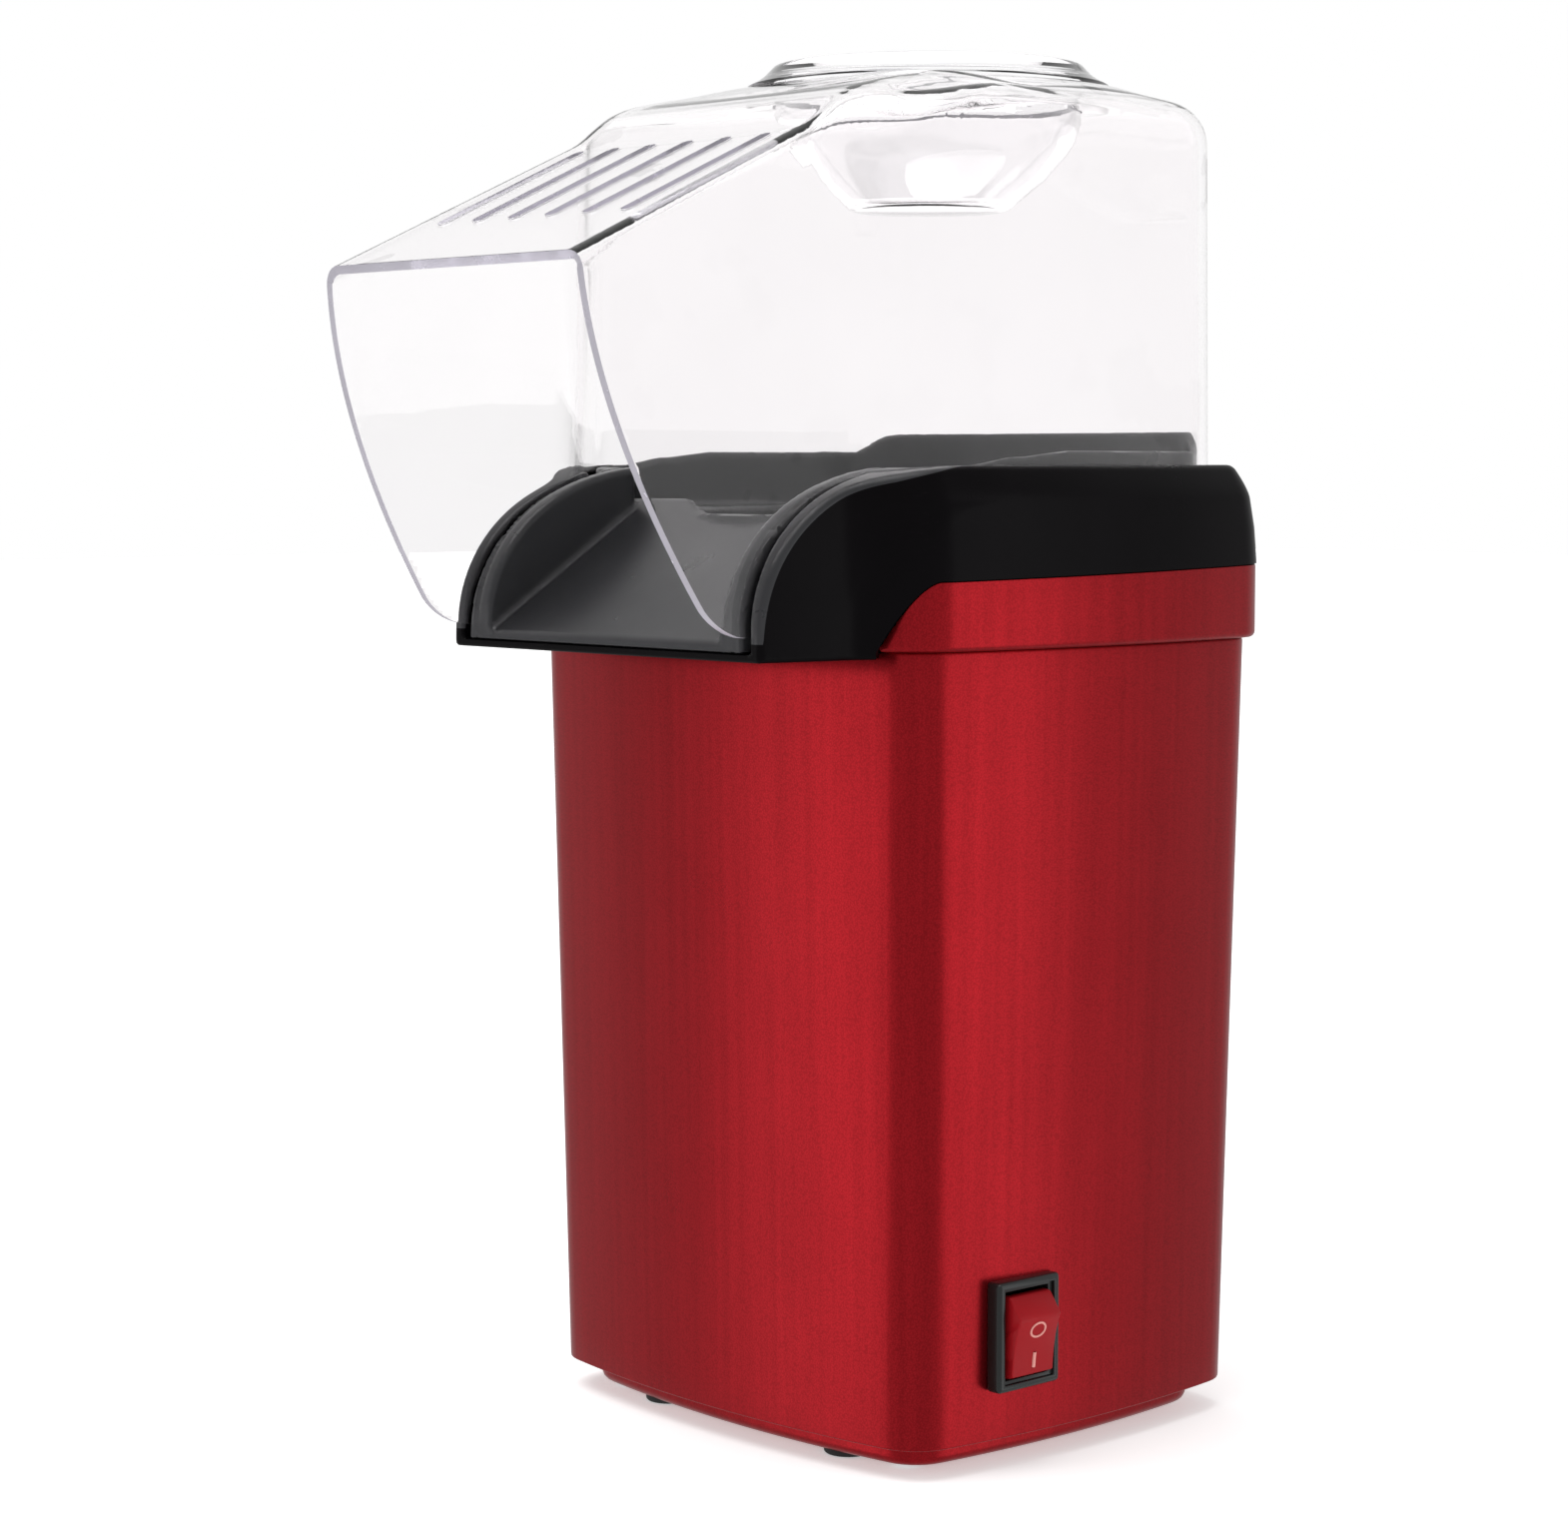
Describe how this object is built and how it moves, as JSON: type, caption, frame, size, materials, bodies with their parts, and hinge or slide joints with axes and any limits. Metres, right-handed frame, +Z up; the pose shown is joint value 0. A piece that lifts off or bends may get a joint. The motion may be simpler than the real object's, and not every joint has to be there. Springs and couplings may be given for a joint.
{
  "type": "popcorn maker",
  "caption": "Household hot-air popcorn maker: bowed square housing, front chute, clear lift-off hood with measuring cup, rocker switch, heater, fan and popping chamber.",
  "frame": {"origin": "on the table plane under the feet, on the shared axis of the chamber, fan and motor", "axes": "+Z up, -Y towards the chute, +X the side with the switch"},
  "size_m": [0.1306, 0.1753, 0.2837],
  "materials": {
    "red_housing": "satin metallic red lacquer",
    "black_deck": "satin black",
    "grey_liner": "satin dark grey",
    "clear_hood": "clear moulded plastic",
    "rubber": "matt black",
    "steel": "zinc plated",
    "black_switch": "satin black",
    "red_rocker": "gloss translucent red",
    "brass": "plain",
    "aluminium": "spun satin",
    "galvanised": "zinc spangle",
    "mica": "flaky sheet mica",
    "nichrome": "oxidised wire",
    "black_bakelite": "moulded black",
    "ceramic": "glazed white",
    "ferrite": "sintered grey",
    "copper": "enamelled copper and steel",
    "circuit_board": "phenolic board",
    "capacitor": "dipped ochre",
    "lead_black": "glass braid sleeve",
    "lead_white": "glass braid sleeve",
    "lead_blue": "smooth sleeve",
    "lead_red": "smooth sleeve"
  },
  "bodies": {
    "housing": {"body_shell": "red_housing", "collar": "red_housing", "top_deck": "black_deck", "chute_funnel": "grey_liner", "base_plate": "red_housing", "rubber_feet": "rubber", "base_screws": "steel", "deck_screws": "steel", "chamber_screws": "steel", "switch_housing": "black_switch", "switch_terminals": "brass", "cord_gland": "rubber", "popping_chamber": "aluminium", "air_duct": "galvanised", "mica_board_x": "mica", "mica_board_y": "mica", "heater_coil": "nichrome", "dropper_coil": "nichrome", "thermal_fuse": "steel", "thermostat": "black_bakelite", "duct_bushing": "ceramic", "fan_housing": "black_bakelite", "housing_screws": "steel", "motor_can": "galvanised", "motor_magnets": "ferrite", "motor_end_cap": "black_bakelite", "motor_bearing": "brass", "motor_screws": "steel", "rectifier_board": "circuit_board", "diodes": "black_bakelite", "noise_capacitor": "capacitor", "live_lead": "lead_black", "heater_lead": "lead_white", "neutral_lead": "lead_blue", "motor_leads": "lead_red"},
    "hood": {"lid_hood": "clear_hood"},
    "cup": {"measuring_cup": "clear_hood"},
    "rocker": {"switch_rocker": "red_rocker"},
    "fan": {"fan_impeller": "black_bakelite", "motor_shaft": "steel", "motor_armature": "copper"}
  },
  "joints": [
    {"name": "hood_lift", "type": "slide", "parent": "housing", "child": "hood", "axis": [0, 0, 1], "range_m": [0, 0.06]},
    {"name": "cup_lift", "type": "slide", "parent": "hood", "child": "cup", "axis": [0, 0, 1], "range_m": [0, 0.045]},
    {"name": "rocker_tip", "type": "hinge", "parent": "housing", "child": "rocker", "pos_m": [0.0592, -0.0213, 0.0277], "axis": [0, 1, 0], "range_deg": [-20, 0]},
    {"name": "fan_spin", "type": "hinge", "parent": "housing", "child": "fan", "pos_m": [0, 0, 0.05], "axis": [0, 0, 1], "continuous": true}
  ]
}
